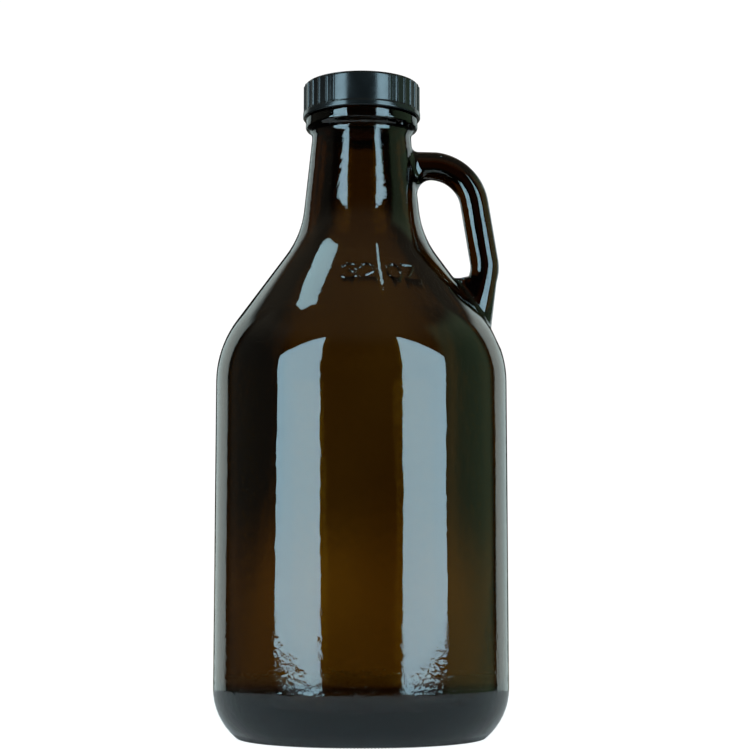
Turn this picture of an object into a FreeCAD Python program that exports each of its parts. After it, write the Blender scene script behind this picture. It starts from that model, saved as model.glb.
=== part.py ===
import FreeCAD
import Part
import math
import os

# Glass growler of just under one litre: a one-piece jug with a moulded-in finger handle, a plastic
# screw cap and a cone liner. Millimetres, +Z up. The origin is on the bottle's axis, on the surface
# that the base stands on. The handle lies in the XZ plane, on the +X side.

Vec = FreeCAD.Vector
ORIGIN = Vec(0, 0, 0)
UP = Vec(0, 0, 1)

# ---- jug, outside --------------------------------------------------------------------------
BODY_R = 49.1            # straight wall
BEARING_R = 41.2         # outer edge of the ring that the jug stands on
BEARING_W = 4.4          # width of that ring
PUSH_UP = 4.5            # height of the hollow under the base
PUSH_UP_R = 27.0         # where the hollow starts to fall towards the ring
PUSH_UP_FALL = 0.9       # it is this much lower there than in the middle
PUSH_UP_EDGE_R = 40.0    # soft edge where that fall begins
BEARING_IN_R = 1.2       # rounding of the ring's inner edge
BEARING_OUT_R = 0.6      # rounding of its outer edge
HEEL_R = 21.0            # radius between the wall and the base
HEEL_RISE = 6.8          # height at which the heel's lower slope would meet the wall
SHOULDER_R = 35.0        # radius between the wall and the shoulder cone
SHOULDER_Z = 118.0       # where the wall ends and the shoulder arc begins
SHOULDER_ANGLE = 36.0    # shoulder cone, degrees from the axis
NECK_FOOT_R = 34.0       # radius between the shoulder cone and the neck
NECK_R = 18.3            # neck radius at NECK_GAUGE_Z
NECK_GAUGE_Z = 190.0
NECK_TAPER = 0.107       # the neck loses this much radius per millimetre of height

# ---- jug, inside ---------------------------------------------------------------------------
WALL = 2.7
NECK_WALL = 3.3
BASE_T = 4.4             # glass in the middle of the base
HEEL_FLOOR = 6.2         # height of the cavity's floor at the heel
HEEL_INSIDE_R = 12.0
BORE_R = 13.25           # mouth
BORE_FOOT_Z = 204.0      # the straight bore ends here and the neck opens out
BORE_FOOT_R = 30.0       # soft edge between the two
MOUTH_OVERRUN = 5.0      # the cavity's cutting solid runs on this far past the lip

# ---- neck finish: 38 mm, continuous thread, one turn -----------------------------------------
LIP_Z = 219.0            # sealing land of the mouth
LIP_EDGE_R = 1.1
FINISH_H = 9.9           # from the transfer bead's top to the lip
BEAD_R = 19.25           # transfer bead under the cap
BEAD_H = 3.1             # its upright face
BEAD_CHIN = 1.9          # height of the slope from the bead in to the neck
BEAD_ROOT_R = 3.0        # fillet where that slope runs into the neck
BEAD_LOWER_R = 1.0       # rounding of the bead's lower edge
BEAD_UPPER_R = 0.5       # rounding of its upper edge
BEAD_TOP_RISE = 0.35     # the bead's top slopes up this much to the finish wall
BEAD_TOP_ROOT_R = 0.25   # fillet between that slope and the wall
THREAD_ROOT_R = 17.5     # finish wall between the threads
THREAD_CREST_R = 18.6
THREAD_ROOT_W = 3.2
THREAD_CREST_W = 1.3
PITCH = 4.233            # six threads to the inch
THREAD_TURNS = 1.05
THREAD_TOP_DROP = 2.4    # lip to the centre of the thread's upper end

# ---- handle --------------------------------------------------------------------------------
HANDLE_R = 4.85          # bar radius
HANDLE_START_X = 8.0     # the arm starts inside the neck, and the cavity cuts it back
HANDLE_TOP_Z = 193.2     # centre of the upper arm
HANDLE_BEND_R = 15.5     # bend between the arm and the grip
HANDLE_ELBOW_X = 36.6    # where the arm and the grip would meet without the bend
HANDLE_KNEE_X = 42.4     # where the grip and the run in to the foot would meet without the knee
HANDLE_KNEE_Z = 157.0
HANDLE_KNEE_R = 12.0     # bend of the knee
HANDLE_FOOT_X = 39.3     # centre of the foot that runs down into the shoulder
HANDLE_FOOT_Z = 147.0    # top of the foot
HANDLE_FOOT_R = 6.0      # bend at the top of the foot
HANDLE_END_Z = 128.0     # end of the foot, inside the jug until the cavity is cut
WEB_W = 7.6              # glass that fills the corner between the grip and the shoulder
WEB_TOP = [(30.0, 152.0), (41.0, 156.7)]   # its sloping top, from the wall to the grip
WEB_FOOT_Z = 137.0
WEB_EDGE_R = 1.6         # rounding of its two long edges
ARM_ROOT_R = 4.0         # fillet where the arm runs into the neck
FOOT_ROOT_R = 2.5        # fillet where the foot runs into the shoulder

# ---- cap -----------------------------------------------------------------------------------
CAP_TOP_Z = 221.4
CAP_TOP_T = 1.2
CAP_SKIRT_Z = 209.4      # lower edge, just above the transfer bead
CAP_R = 19.75            # skirt between the ribs
CAP_BORE_R = 18.9
CAP_EDGE_R = 1.0         # rounded top edge
CAP_CORNER_R = 0.2       # between the skirt and the top, inside
CAP_RIM_R = 20.2         # rolled rim along the lower edge
CAP_RIM_H = 2.3
CAP_RIM_SLOPE = 0.6      # height of the slope from the skirt out to the rim
CAP_RIM_UPPER_R = 0.3    # rounding of the rim's upper edge
CAP_RIM_LOWER_R = 0.5    # rounding of its lower edge
CAP_SMALL_R = 0.2        # root of the rim and lower edge of the bore
CAP_LEAD_R = 19.3        # counterbore that leads the cap over the thread
CAP_LEAD_H = 0.9
RIB_H = 0.3              # how far the ribs stand out
RIB_W = 0.7
RIB_DEPTH = 1.0          # rib box, from its crest to its back inside the skirt
RIB_FIRST = 28.5         # half angle of the two smooth panels, degrees
RIB_COUNT = 14           # on each side
CAP_THREAD_R = 17.75     # crest of the inside thread
CAP_THREAD_ROOT_W = 2.9
CAP_THREAD_CREST_W = 1.2
CAP_THREAD_DROP = 2.0    # it runs this far under the thread of the finish
CAP_THREAD_START = 0.25  # turns along that thread before it begins
CAP_THREAD_TURNS = 1.0
THREAD_BITE = 0.3        # both threads start this deep inside their wall

# ---- cone liner ----------------------------------------------------------------------------
LINER_R = 18.2
CONE_TOP_R = 12.95
CONE_TOP_DROP = 0.9      # the cone starts this far below the lip
CONE_TIP_R = 9.0
CONE_DEPTH = 7.8
CONE_WALL = 1.1
CONE_TIP_EDGE_R = 0.8    # rounding round the cone's tip, outside and inside
CONE_SHOULDER_R = 2.0    # between the cone and its straight top
LINER_EDGE_R = 0.2       # rounding of the disc's rim
LINER_HOLLOW_R = 0.3     # edge of the hollow in the disc

# ---- worked out from the above ---------------------------------------------------------------
cone_angle = math.radians(SHOULDER_ANGLE)
cone_slope = math.tan(cone_angle)
cone_touch_z = SHOULDER_Z + SHOULDER_R * math.sin(cone_angle)
cone_touch_r = BODY_R - SHOULDER_R * (1 - math.cos(cone_angle))
bead_top = LIP_Z - FINISH_H
bead_bottom = bead_top - BEAD_H
chin_z = bead_bottom - BEAD_CHIN
thread_z = LIP_Z - THREAD_TOP_DROP - PITCH * THREAD_TURNS
cap_ceiling = CAP_TOP_Z - CAP_TOP_T
cap_rim_top = CAP_SKIRT_Z + CAP_RIM_H


def toward(start, end):
    """Unit vector from start to end."""
    return end.sub(start).normalize()


def rounded_wire(corners):
    """Closed wire in the XZ plane. Each corner is (radius from the axis, height, fillet)."""
    points = [Vec(r, 0, z) for r, z, fillet in corners]
    edges = []
    pen = None
    first = None
    for i, (r, z, fillet) in enumerate(corners):
        here = points[i]
        back = toward(here, points[i - 1])
        ahead = toward(here, points[(i + 1) % len(points)])
        start = end = here
        if fillet:
            half = back.getAngle(ahead) / 2
            reach = fillet / math.tan(half)
            start = here + back * reach
            end = here + ahead * reach
            middle = here + (back + ahead).normalize() * (fillet / math.sin(half) - fillet)
            arc = Part.Arc(start, middle, end).toShape()
        if pen is None:
            first = start
        else:
            edges.append(Part.LineSegment(pen, start).toShape())
        if fillet:
            edges.append(arc)
        pen = end
    edges.append(Part.LineSegment(pen, first).toShape())
    return Part.Wire(edges)


def turned(corners):
    """Solid of revolution about Z from a rounded outline."""
    return Part.Face(rounded_wire(corners)).revolve(ORIGIN, UP, 360)


def helical_thread(wall_r, root_w, crest_r, crest_w, z, turns):
    """Right-hand thread of trapezoid section that starts on +X at height z."""
    section = Part.makePolygon([
        Vec(wall_r, 0, -root_w / 2),
        Vec(crest_r, 0, -crest_w / 2),
        Vec(crest_r, 0, crest_w / 2),
        Vec(wall_r, 0, root_w / 2),
        Vec(wall_r, 0, -root_w / 2),
    ])
    helix = Part.Wire(Part.makeHelix(PITCH, PITCH * turns, wall_r).Edges)
    thread = helix.makePipeShell([section], True, True)
    thread.translate(Vec(0, 0, z))
    return thread


def cone_z(r, depth):
    """Height at which the shoulder cone, moved in by depth square to its surface, has radius r."""
    return cone_touch_z + (cone_touch_r - depth / math.cos(cone_angle) - r) / cone_slope


def neck_r(z):
    return NECK_R - NECK_TAPER * (z - NECK_GAUGE_Z)


def neck_foot(cone_depth, neck_depth):
    """Corner between the shoulder cone and the neck, each moved in by its depth."""
    neck_at_zero = neck_r(0) - neck_depth
    z = (cone_slope * cone_z(0, cone_depth) - neck_at_zero) / (cone_slope - NECK_TAPER)
    return neck_at_zero - NECK_TAPER * z, z


def jug_outside():
    return turned([
        (0, PUSH_UP, 0),
        (PUSH_UP_R, PUSH_UP - PUSH_UP_FALL, PUSH_UP_EDGE_R),
        (BEARING_R - BEARING_W, 0, BEARING_IN_R),
        (BEARING_R, 0, BEARING_OUT_R),
        (BODY_R, HEEL_RISE, HEEL_R),
        (BODY_R, cone_z(BODY_R, 0), SHOULDER_R),
        (*neck_foot(0, 0), NECK_FOOT_R),
        (neck_r(chin_z), chin_z, BEAD_ROOT_R),
        (BEAD_R, bead_bottom, BEAD_LOWER_R),
        (BEAD_R, bead_top, BEAD_UPPER_R),
        (THREAD_ROOT_R, bead_top + BEAD_TOP_RISE, BEAD_TOP_ROOT_R),
        (THREAD_ROOT_R, LIP_Z, LIP_EDGE_R),
        (0, LIP_Z, 0),
    ])


def jug_cavity():
    """Inside of the jug, run on past the lip so that it cuts the mouth open."""
    inner_r = BODY_R - WALL
    floor_z = PUSH_UP + BASE_T
    above_lip = LIP_Z + MOUTH_OVERRUN
    return turned([
        (0, floor_z, 0),
        (PUSH_UP_R, floor_z - PUSH_UP_FALL, PUSH_UP_EDGE_R),
        (inner_r, HEEL_FLOOR, HEEL_INSIDE_R),
        (inner_r, cone_z(inner_r, WALL), SHOULDER_R - WALL),
        (*neck_foot(WALL, NECK_WALL), NECK_FOOT_R + WALL),
        (BORE_R, BORE_FOOT_Z, BORE_FOOT_R),
        (BORE_R, above_lip, 0),
        (0, above_lip, 0),
    ])


def handle():
    """Round bar swept along arm, bend, grip, knee and foot, all in the XZ plane."""
    closed = rounded_wire([
        (HANDLE_START_X, HANDLE_TOP_Z, 0),
        (HANDLE_ELBOW_X, HANDLE_TOP_Z, HANDLE_BEND_R),
        (HANDLE_KNEE_X, HANDLE_KNEE_Z, HANDLE_KNEE_R),
        (HANDLE_FOOT_X, HANDLE_FOOT_Z, HANDLE_FOOT_R),
        (HANDLE_FOOT_X, HANDLE_END_Z, 0),
    ])
    path = Part.Wire(closed.Edges[:-1])
    ring = Part.Wire(Part.makeCircle(HANDLE_R, Vec(HANDLE_START_X, 0, HANDLE_TOP_Z), Vec(1, 0, 0)))
    return path.makePipeShell([ring], True, False)


def web():
    """Block that closes the loop's lower corner with a short sloping floor."""
    inner, outer = WEB_TOP
    corners = [inner, outer, (outer[0], WEB_FOOT_Z), (inner[0], WEB_FOOT_Z), inner]
    side = Part.Face(Part.makePolygon([Vec(x, -WEB_W / 2, z) for x, z in corners]))
    block = side.extrude(Vec(0, WEB_W, 0))
    long_edges = [edge for edge in block.Edges if edge.BoundBox.YLength < 0.01]
    upper = [edge for edge in long_edges if edge.BoundBox.ZMin > inner[1] - 0.01]
    return block.makeFillet(WEB_EDGE_R, upper)


def root_edges(body, skin, grown):
    """The edges where the handle meets the jug's skin: those at the neck and those at the shoulder."""
    found = []
    for edge in body.Edges:
        middle = Part.Vertex(edge.valueAt((edge.FirstParameter + edge.LastParameter) / 2))
        if max(skin.distToShape(middle)[0], grown.distToShape(middle)[0]) < 0.001:
            found.append(edge)
    at_neck = [edge for edge in found if edge.BoundBox.ZMin > HANDLE_KNEE_Z]
    at_shoulder = [edge for edge in found if edge.BoundBox.ZMax < HANDLE_KNEE_Z]
    return at_neck, at_shoulder


def glass_jug():
    outside = jug_outside()
    grip = [handle(), web()]
    skin = Part.Compound(outside.Faces)
    grown = Part.Compound(grip[0].Faces + grip[1].Faces)
    body = outside.fuse(grip)
    body = body.makeFillet(FOOT_ROOT_R, root_edges(body, skin, grown)[1])
    body = body.makeFillet(ARM_ROOT_R, root_edges(body, skin, grown)[0])
    wall_r = THREAD_ROOT_R - THREAD_BITE
    thread = helical_thread(wall_r, THREAD_ROOT_W, THREAD_CREST_R, THREAD_CREST_W, thread_z, THREAD_TURNS)
    return body.fuse(thread).cut(jug_cavity()).removeSplitter()


def cap_shell():
    lead_top = CAP_SKIRT_Z + CAP_LEAD_H
    return turned([
        (0, CAP_TOP_Z, 0),
        (CAP_R, CAP_TOP_Z, CAP_EDGE_R),
        (CAP_R, cap_rim_top, CAP_SMALL_R),
        (CAP_RIM_R, cap_rim_top - CAP_RIM_SLOPE, CAP_RIM_UPPER_R),
        (CAP_RIM_R, CAP_SKIRT_Z, CAP_RIM_LOWER_R),
        (CAP_LEAD_R, CAP_SKIRT_Z, CAP_SMALL_R),
        (CAP_LEAD_R, lead_top, 0),
        (CAP_BORE_R, lead_top + CAP_LEAD_R - CAP_BORE_R, 0),
        (CAP_BORE_R, cap_ceiling, CAP_CORNER_R),
        (0, cap_ceiling, 0),
    ])


def cap_ribs():
    """Upright ribs on both flanks. The panels towards -Y and +Y stay smooth."""
    step = (180 - 2 * RIB_FIRST) / (RIB_COUNT - 1)
    foot_z = cap_rim_top - CAP_RIM_SLOPE
    ribs = []
    for flank in (-90, 90):
        for i in range(RIB_COUNT):
            rib = Part.makeBox(RIB_DEPTH, RIB_W, CAP_TOP_Z - CAP_EDGE_R - foot_z)
            rib.translate(Vec(CAP_R + RIB_H - RIB_DEPTH, -RIB_W / 2, foot_z))
            rib.rotate(ORIGIN, UP, flank + RIB_FIRST + i * step)
            ribs.append(rib)
    return ribs


def screw_cap():
    wall_r = CAP_BORE_R + THREAD_BITE
    z = thread_z - CAP_THREAD_DROP + PITCH * CAP_THREAD_START
    thread = helical_thread(wall_r, CAP_THREAD_ROOT_W, CAP_THREAD_R, CAP_THREAD_CREST_W, z, CAP_THREAD_TURNS)
    thread.rotate(ORIGIN, UP, 360 * CAP_THREAD_START)
    return cap_shell().fuse(cap_ribs() + [thread])


def cone_liner():
    """Disc that lies on the lip under the cap's ceiling, with a hollow cone that plugs the mouth."""
    tip_z = LIP_Z - CONE_DEPTH
    return turned([
        (0, tip_z, 0),
        (CONE_TIP_R, tip_z, CONE_TIP_EDGE_R),
        (CONE_TOP_R, LIP_Z - CONE_TOP_DROP, CONE_SHOULDER_R),
        (CONE_TOP_R, LIP_Z, 0),
        (LINER_R, LIP_Z, LINER_EDGE_R),
        (LINER_R, cap_ceiling, LINER_EDGE_R),
        (CONE_TOP_R - CONE_WALL, cap_ceiling, LINER_HOLLOW_R),
        (CONE_TIP_R - CONE_WALL, tip_z + CONE_WALL, CONE_TIP_EDGE_R),
        (0, tip_z + CONE_WALL, 0),
    ])


os.makedirs("parts", exist_ok=True)
for make in (glass_jug, screw_cap, cone_liner):
    make().exportStep("parts/" + make.__name__ + ".step")
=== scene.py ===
import bpy
import bmesh
import math
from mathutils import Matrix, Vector


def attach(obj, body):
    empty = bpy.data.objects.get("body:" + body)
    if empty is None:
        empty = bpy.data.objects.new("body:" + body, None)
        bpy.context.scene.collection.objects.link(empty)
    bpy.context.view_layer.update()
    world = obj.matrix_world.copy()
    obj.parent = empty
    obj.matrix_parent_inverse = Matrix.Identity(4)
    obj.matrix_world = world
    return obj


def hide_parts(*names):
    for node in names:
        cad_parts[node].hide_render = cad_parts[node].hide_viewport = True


# Glass growler: amber jug with a moulded-in handle, black screw cap, white cone liner.
# Sizes are in millimetres, as in the CAD part, and vertices are made in metres.

MM = 0.001
TAU = 2 * math.pi

# ---- jug, outside ----
BODY_R = 49.1
BEARING_R = 41.2
BEARING_W = 4.4
PUSH_UP = 4.5
PUSH_UP_R = 27.0
PUSH_UP_FALL = 0.9
PUSH_UP_EDGE_R = 40.0
BEARING_IN_R = 1.2
BEARING_OUT_R = 0.6
HEEL_R = 21.0
HEEL_RISE = 6.8
SHOULDER_R = 35.0
SHOULDER_Z = 118.0
CONE_ANGLE = math.radians(36)
NECK_FOOT_R = 34.0
NECK_R = 18.3
NECK_GAUGE_Z = 190.0
NECK_TAPER = 0.107

# ---- jug, inside ----
WALL = 2.7
NECK_WALL = 3.3
BASE_T = 4.4
HEEL_FLOOR = 6.2
HEEL_INSIDE_R = 12.0
BORE_R = 13.25
BORE_FOOT_Z = 204.0
BORE_FOOT_R = 30.0
EVEN_ABOVE_Z = 194.0     # the inner wall is even above this height
UNEVEN = [(0.20, 2, 0.9, 61), (0.12, 5, 0, -37), (0.07, 9, 2.1, 23)]   # size, lobes, phase, length
INSIDE_COLUMNS = 120

# ---- neck finish ----
LIP_Z = 219.0
LIP_EDGE_R = 1.1
LIP_INNER_R = 0.7        # rounding of the mouth's edge
FINISH_H = 9.9
BEAD_R = 19.25
BEAD_H = 3.1
BEAD_CHIN = 1.9
BEAD_ROOT_R = 3.0
BEAD_LOWER_R = 1.0
BEAD_UPPER_R = 0.5
BEAD_TOP_RISE = 0.35
BEAD_TOP_ROOT_R = 0.25
THREAD_ROOT_R = 17.5
THREAD_CREST_R = 18.6
THREAD_ROOT_W = 3.2
THREAD_CREST_W = 1.3
PITCH = 4.233
THREAD_TURNS = 1.05
THREAD_TOP_DROP = 2.4
THREAD_FADE = 0.05       # turns over which a thread rises and dies away
THREAD_BITE = 0.3        # the root widths are measured this deep inside the wall
THREAD_ROW = 0.32        # greatest height between two rings of vertices on a thread

# ---- handle ----
HANDLE_R = 4.85
HANDLE_START_X = 8.0
HANDLE_TOP_Z = 193.2
HANDLE_BEND_R = 15.5
HANDLE_ELBOW_X = 36.6
HANDLE_KNEE_X = 42.4
HANDLE_KNEE_Z = 157.0
HANDLE_KNEE_R = 12.0
HANDLE_FOOT_X = 39.3
HANDLE_FOOT_Z = 147.0
HANDLE_FOOT_R = 6.0
HANDLE_END_Z = 128.0
WEB_TOP = [(30.0, 152.0), (41.0, 156.7)]
WEB_HALF = 3.8           # half the web's width
WEB_REACH = 6.0          # how far the bar's inner side is drawn in to make the web
WEB_RISE = 1.3           # height over which that happens
HANDLE_SIDES = 72
BAR_STEP = 0.7           # greatest length between two rings of vertices on the bar
BAR_MARGIN = 0.6         # between the bar's first or last ring and the root beside it
ARM_START = 4.0          # station at which the search for the neck's skin starts, inside the jug
FOOT_START = 1.0         # the same for the shoulder's skin, back from the end of the bar
ROOT_STEP = 0.5          # step of both searches
ARM_REACH = 6.0          # the fillets reach no further than this from the bare corner
FOOT_REACH = 5.5
ARM_STEPS = 10           # steps from ring to ring of vertices in each fillet
FOOT_STEPS = 8
COLLAR_W = 0.5           # width of the ring of skin round each root
ARM_GAP = (184.5, 202.0, math.radians(31))    # gap in the lathe: lower and upper edge, half width
FOOT_GAP = (129.5, 157.5, math.radians(17))

# ---- cap ----
CAP_TOP_Z = 221.4
CAP_TOP_T = 1.2
CAP_SKIRT_Z = 209.4
CAP_R = 19.75
CAP_BORE_R = 18.9
CAP_EDGE_R = 1.0
CAP_CORNER_R = 0.2
CAP_RIM_R = 20.2
CAP_RIM_H = 2.3
CAP_RIM_SLOPE = 0.6
CAP_RIM_UPPER_R = 0.3
CAP_RIM_LOWER_R = 0.5
CAP_SMALL_R = 0.2
CAP_LEAD_EDGE_R = 0.1
CAP_LEAD_R = 19.3
CAP_LEAD_H = 0.9
RIB_H = 0.3
RIB_W = 0.7
RIB_FIRST = 28.5
RIB_COUNT = 14
PANEL_STEPS = 30         # steps from column to column across each smooth panel
CAP_THREAD_R = 17.75
CAP_THREAD_ROOT_W = 2.9
CAP_THREAD_CREST_W = 1.2
CAP_THREAD_DROP = 2.0
CAP_THREAD_START = 0.25
CAP_THREAD_TURNS = 1.0

# ---- cone liner ----
LINER_R = 18.2
CONE_TOP_R = 12.95
CONE_TOP_DROP = 0.9
CONE_TIP_R = 9.0
CONE_DEPTH = 7.8
CONE_WALL = 1.1
CONE_TIP_EDGE_R = 0.8
CONE_SHOULDER_R = 2.0
CONE_TOP_EDGE_R = 0.1
LINER_EDGE_R = 0.2
LINER_HOLLOW_R = 0.3
LINER_COLUMNS = 144

# ---- details that only the visual model has ----
KNURL_TEETH = 240        # notches round the ring that the jug stands on
KNURL_STEPS = 4          # columns for each notch
KNURL_DEPTH = 0.32
KNURL_IN_R = 38.0
KNURL_OUT_R = 43.6
MARK_Z = (147.9, 153.9)  # lower and upper edge of the raised capacity mark
MARK_FIRST = -11.5       # azimuth of its left edge, degrees from -Y towards +X
MARK_H = 0.45            # how far it stands out
MARK_STROKE = 0.9
MARK_MARGIN = 1.6        # rows of vertices are close together this far above and below it
MARK_ROW = 0.17          # greatest height between two of them
MARK_COLUMN = 0.32       # greatest angle between two columns across the mark, in degrees
GLYPH_W = 4.6
GLYPH_GAP = 1.15
SEAM_H = 0.09            # parting line of the mould, in the handle's plane
SEAM_W = 0.5

# ---- worked out from the above ----
CONE_SLOPE = math.tan(CONE_ANGLE)
CONE_TOUCH_Z = SHOULDER_Z + SHOULDER_R * math.sin(CONE_ANGLE)
CONE_TOUCH_R = BODY_R - SHOULDER_R * (1 - math.cos(CONE_ANGLE))
BEAD_TOP = LIP_Z - FINISH_H
BEAD_BOTTOM = BEAD_TOP - BEAD_H
CHIN_Z = BEAD_BOTTOM - BEAD_CHIN
THREAD_Z = LIP_Z - THREAD_TOP_DROP - PITCH * THREAD_TURNS
CAP_CEILING = CAP_TOP_Z - CAP_TOP_T
CAP_RIM_TOP = CAP_SKIRT_Z + CAP_RIM_H


# ---------------------------------------------------------------- shared geometry

def cone_z(r, depth):
    """Height at which the shoulder cone, moved in by depth square to its surface, has radius r."""
    return CONE_TOUCH_Z + (CONE_TOUCH_R - depth / math.cos(CONE_ANGLE) - r) / CONE_SLOPE


def neck_r(z):
    """Radius of the neck's cone at a height."""
    return NECK_R - NECK_TAPER * (z - NECK_GAUGE_Z)


def neck_foot(cone_depth, neck_depth):
    """Corner between the shoulder cone and the neck, each moved in by its depth."""
    neck_at_zero = neck_r(0) - neck_depth
    z = (CONE_SLOPE * cone_z(0, cone_depth) - neck_at_zero) / (CONE_SLOPE - NECK_TAPER)
    return neck_at_zero - NECK_TAPER * z, z


def smooth(t):
    """0 below 0, 1 above 1, and a soft step between them."""
    t = min(max(t, 0.0), 1.0)
    return t * t * (3 - 2 * t)


def line_points(a, b, step):
    """Points from a to b, both included, closer together near the ends."""
    length = (b - a).length
    if length < 1e-6:
        return [a.copy()]
    near = min(0.3, length / 5)
    count = max(1, math.ceil((length - 2 * near) / step))
    stops = [0, near / length]
    stops += [(near + (length - 2 * near) * i / count) / length for i in range(1, count + 1)]
    stops += [1]
    return [a.lerp(b, t) for t in stops]


def arc_points(corner, back, ahead, fillet, step, turn_step):
    """Points of the arc that rounds a corner, from its start to its end."""
    half = back.angle(ahead) / 2
    reach = fillet / math.tan(half)
    centre = corner + (back + ahead).normalized() * (fillet / math.sin(half))
    start = corner + back * reach - centre
    end = corner + ahead * reach - centre
    turn = start.angle(end)
    count = max(3, math.ceil(turn / turn_step), math.ceil(turn * fillet / step))
    points = []
    for i in range(count + 1):
        t = i / count
        mix = start * math.sin((1 - t) * turn) + end * math.sin(t * turn)
        points.append(centre + mix / math.sin(turn))
    return points


def outline(corners, step=2.4, turn_step=math.radians(9)):
    """Points along an open rounded outline. Each corner is (radius from the axis, height, fillet)."""
    points = [Vector((r, z)) for r, z, _ in corners]
    path = []
    pen = points[0]
    for i in range(1, len(points)):
        here, fillet = points[i], corners[i][2]
        if fillet and i < len(points) - 1:
            back = (points[i - 1] - here).normalized()
            ahead = (points[i + 1] - here).normalized()
            arc = arc_points(here, back, ahead, fillet, step, turn_step)
            path += line_points(pen, arc[0], step) + arc[1:-1]
            pen = arc[-1]
        else:
            path += line_points(pen, here, step)[:-1]
            pen = here
    path.append(pen)
    kept = [path[0]]
    for p in path[1:]:
        if (p - kept[-1]).length > 1e-4:
            kept.append(p)
    return kept


def refined(path, low, high, step):
    """The path with extra points where its height is between low and high."""
    out = [path[0]]
    for p in path[1:]:
        a = out[-1]
        inside = low <= min(a.y, p.y) + 1e-6 and max(a.y, p.y) <= high + 1e-6
        count = math.ceil((p - a).length / step) if inside else 1
        out += [a.lerp(p, i / count) for i in range(1, count)]
        out.append(p)
    return out


def even_angles(count):
    return [TAU * i / count for i in range(count)]


def unchanged(r, z, angle):
    """The shape of a plain lathe, for ring_of and lathe."""
    return r, z


def angle_of(v):
    """Angle of a vertex round the jug's axis, from 0 to a full turn."""
    return math.atan2(v.co.y, v.co.x) % TAU


def ring_of(bm, radius_height, angles, shape):
    """One ring of vertices. shape(r, z, angle) gives the moved (r, z)."""
    verts = []
    for angle in angles:
        r, z = shape(*radius_height, angle)
        verts.append(bm.verts.new((r * math.cos(angle) * MM, r * math.sin(angle) * MM, z * MM)))
    return verts


def in_block(block, row, i):
    """Whether a face of the lathe lies in a gap that crosses the first column."""
    low, high, left, right = block
    return low <= row < high and (i >= left or i < right)


def lathe(bm, path, angles, shape, gaps=()):
    """Turns a path about Z, with gaps left open. A point on the axis becomes one vertex. Returns
    the rings."""
    rings = []
    for p in path:
        if p.x < 1e-6:
            rings.append([bm.verts.new((0, 0, shape(0, p.y, 0)[1] * MM))])
        else:
            rings.append(ring_of(bm, p, angles, shape))
    for row, (low, high) in enumerate(zip(rings, rings[1:])):
        count = max(len(low), len(high))
        for i in range(count):
            j = (i + 1) % count
            if any(in_block(gap, row, i) for gap in gaps):
                continue
            if len(low) == 1:
                bm.faces.new((low[0], high[j], high[i]))
            elif len(high) == 1:
                bm.faces.new((low[i], low[j], high[0]))
            else:
                bm.faces.new((low[i], low[j], high[j], high[i]))
    return rings


def zip_loops(bm, first, second, key):
    """Joins two closed loops with triangles, in order of key, which rises once round each loop."""
    def in_order(loop):
        keyed = sorted(((key(v), v) for v in loop), key=lambda pair: pair[0])
        return [k for k, _ in keyed], [v for _, v in keyed]
    keys_a, a = in_order(first)
    keys_b, b = in_order(second)
    keys_a.append(keys_a[0] + TAU)
    keys_b.append(keys_b[0] + TAU)
    i = j = 0
    while i < len(a) or j < len(b):
        step_a = j >= len(b) or (i < len(a) and keys_a[i + 1] <= keys_b[j + 1])
        here_a, here_b = a[i % len(a)], b[j % len(b)]
        if step_a:
            bm.faces.new((here_a, a[(i + 1) % len(a)], here_b))
            i += 1
        else:
            bm.faces.new((here_a, b[(j + 1) % len(b)], here_b))
            j += 1


def finished(bm, name, material):
    """A smooth-shaded object from a bmesh, with its normals pointing out."""
    bmesh.ops.remove_doubles(bm, verts=bm.verts, dist=1e-7)
    bmesh.ops.recalc_face_normals(bm, faces=bm.faces)
    mesh = bpy.data.meshes.new(name)
    bm.to_mesh(mesh)
    bm.free()
    mesh.shade_smooth()
    mesh.materials.append(material)
    obj = bpy.data.objects.new(name, mesh)
    bpy.context.scene.collection.objects.link(obj)
    return obj


def width_at_wall(root_w, crest_w, height):
    """Width of a thread where it leaves its wall, from the width at its root, deeper in."""
    return crest_w + (root_w - crest_w) * height / (height + THREAD_BITE)


def thread_bulge(z, angle, first_z, turns, first_turn, root_w, crest_w):
    """How much of its full height a helical thread has at this place, from 0 to 1."""
    turn = (angle / TAU) % 1.0
    best = 0.0
    for n in range(-1, 3):
        along = turn + n - first_turn
        if not -THREAD_FADE <= along <= turns + THREAD_FADE:
            continue
        off = abs(z - first_z - PITCH * along)
        flank = (root_w / 2 - off) / ((root_w - crest_w) / 2)
        ends = smooth((along + THREAD_FADE) / (2 * THREAD_FADE))
        ends *= smooth((turns + THREAD_FADE - along) / (2 * THREAD_FADE))
        best = max(best, smooth(flank) * ends)
    return best


# ---------------------------------------------------------------- capacity mark

def arc_stroke(cx, cy, rx, ry, start, end, count=14):
    """Points of an elliptical stroke, angles in degrees, anticlockwise from the right."""
    points = []
    for i in range(count + 1):
        a = math.radians(start + (end - start) * i / count)
        points.append((cx + rx * math.cos(a), cy + ry * math.sin(a)))
    return points


def mark_strokes(height):
    """Strokes of the generic capacity mark 32 OZ, from its lower left corner."""
    w, h, q = GLYPH_W, height, height / 4
    glyphs = [
        [arc_stroke(w / 2, 3 * q, w / 2, q, 160, -90), arc_stroke(w / 2, q, w / 2, q, 90, -160)],
        [arc_stroke(w / 2, h - w / 2, w / 2, w / 2, 165, -35) + [(0, 0), (w, 0)]],
        None,
        [arc_stroke(w / 2, h / 2, w / 2, h / 2, 0, 360, 28)],
        [[(0, h), (w, h), (0, 0), (w, 0)]],
    ]
    strokes = []
    pen = 0.0
    for glyph in glyphs:
        for stroke in glyph or []:
            strokes.append([(pen + x, y) for x, y in stroke])
        pen += (GLYPH_W if glyph else GLYPH_W * 0.45) + GLYPH_GAP
    return strokes, pen - GLYPH_GAP


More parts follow.
